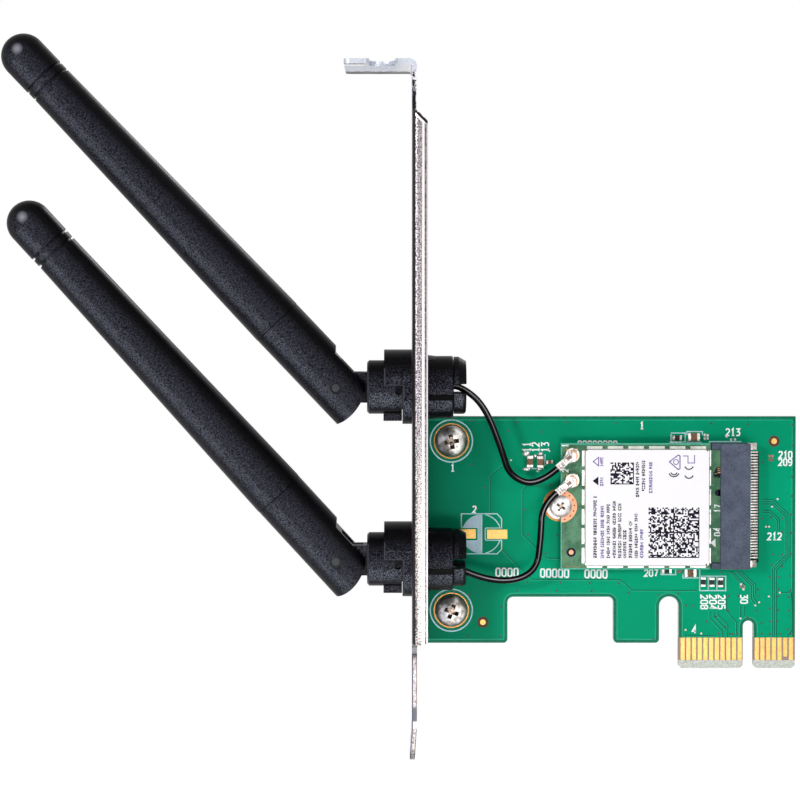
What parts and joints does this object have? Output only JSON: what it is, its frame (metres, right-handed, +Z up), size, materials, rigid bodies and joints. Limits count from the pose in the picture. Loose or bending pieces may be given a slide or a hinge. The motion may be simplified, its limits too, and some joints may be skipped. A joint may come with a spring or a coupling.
{
  "type": "pcie wifi card",
  "caption": "Plug-in wireless network card with a bent metal bracket, a small radio module on a green board and swivelling, folding antennas.",
  "frame": {"origin": "middle of the key notch of the edge connector, at the board's lower edge and half way through its thickness", "axes": "+X from the bracket to the free end of the board, +Z up the bracket towards its screw tab, component side facing -Y"},
  "size_m": [0.1377, 0.0185, 0.1247],
  "materials": {
    "bracket_steel": "nickel-plated sheet steel, matt",
    "board_green": "green solder mask over glass laminate",
    "contact_gold": "gold plating",
    "screw_nickel": "nickel-plated steel",
    "socket_black": "moulded, fine matt",
    "tin_plate": "tinned metal",
    "module_green": "dark green solder mask",
    "shield_steel": "tinned sheet steel",
    "label_white": "coated white label",
    "chip_black": "glazed black",
    "chip_tan": "brown ceramic",
    "antenna_black": "fine textured plastic",
    "pin_black": "smooth",
    "coax_black": "smooth jacket",
    "radiator_brass": "drawn tube",
    "coax_inner": "clear dielectric over a tinned core"
  },
  "bodies": {
    "card": {"bracket": "bracket_steel", "main_board": "board_green", "edge_contacts": "contact_gold", "board_screw_upper": "screw_nickel", "board_screw_lower": "screw_nickel", "module_socket": "socket_black", "module_socket_contacts": "tin_plate", "module_socket_anchors": "tin_plate", "module_standoff": "tin_plate", "module_screw": "screw_nickel", "module_board": "module_green", "module_contacts": "contact_gold", "module_shield": "shield_steel", "module_label": "label_white", "chip_resistors": "chip_black", "chip_capacitors": "chip_tan", "chip_end_caps": "tin_plate", "coax_receptacle_upper": "contact_gold", "coax_plug_upper": "tin_plate", "coax_lead_upper": "coax_black", "antenna_holder_upper": "antenna_black", "coax_receptacle_lower": "contact_gold", "coax_plug_lower": "tin_plate", "coax_lead_lower": "coax_black", "antenna_holder_lower": "antenna_black"},
    "upper_swivel": {"swivel_base_upper": "antenna_black"},
    "upper_antenna": {"antenna_sleeve_upper": "antenna_black", "antenna_cover_upper": "antenna_black", "hinge_pins_upper": "pin_black", "radiator_upper": "radiator_brass", "antenna_coax_upper": "coax_inner"},
    "lower_swivel": {"swivel_base_lower": "antenna_black"},
    "lower_antenna": {"antenna_sleeve_lower": "antenna_black", "antenna_cover_lower": "antenna_black", "hinge_pins_lower": "pin_black", "radiator_lower": "radiator_brass", "antenna_coax_lower": "coax_inner"}
  },
  "joints": [
    {"name": "upper_swivel_turn", "type": "hinge", "parent": "card", "child": "upper_swivel", "pos_m": [-0.0667, -0.00645, 0.04964], "axis": [1, 0, 0], "range_deg": [-81, 79]},
    {"name": "upper_antenna_fold", "type": "hinge", "parent": "upper_swivel", "child": "upper_antenna", "pos_m": [-0.0721, -0.00645, 0.04964], "axis": [0, 0.9998, 0.0175], "range_deg": [-7.5, 38]},
    {"name": "lower_swivel_turn", "type": "hinge", "parent": "card", "child": "lower_swivel", "pos_m": [-0.0667, -0.00645, 0.01992], "axis": [1, 0, 0], "range_deg": [-83, 77]},
    {"name": "lower_antenna_fold", "type": "hinge", "parent": "lower_swivel", "child": "lower_antenna", "pos_m": [-0.0721, -0.00645, 0.01992], "axis": [0, 0.9986, 0.0523], "range_deg": [-47.7, 7.5]}
  ]
}
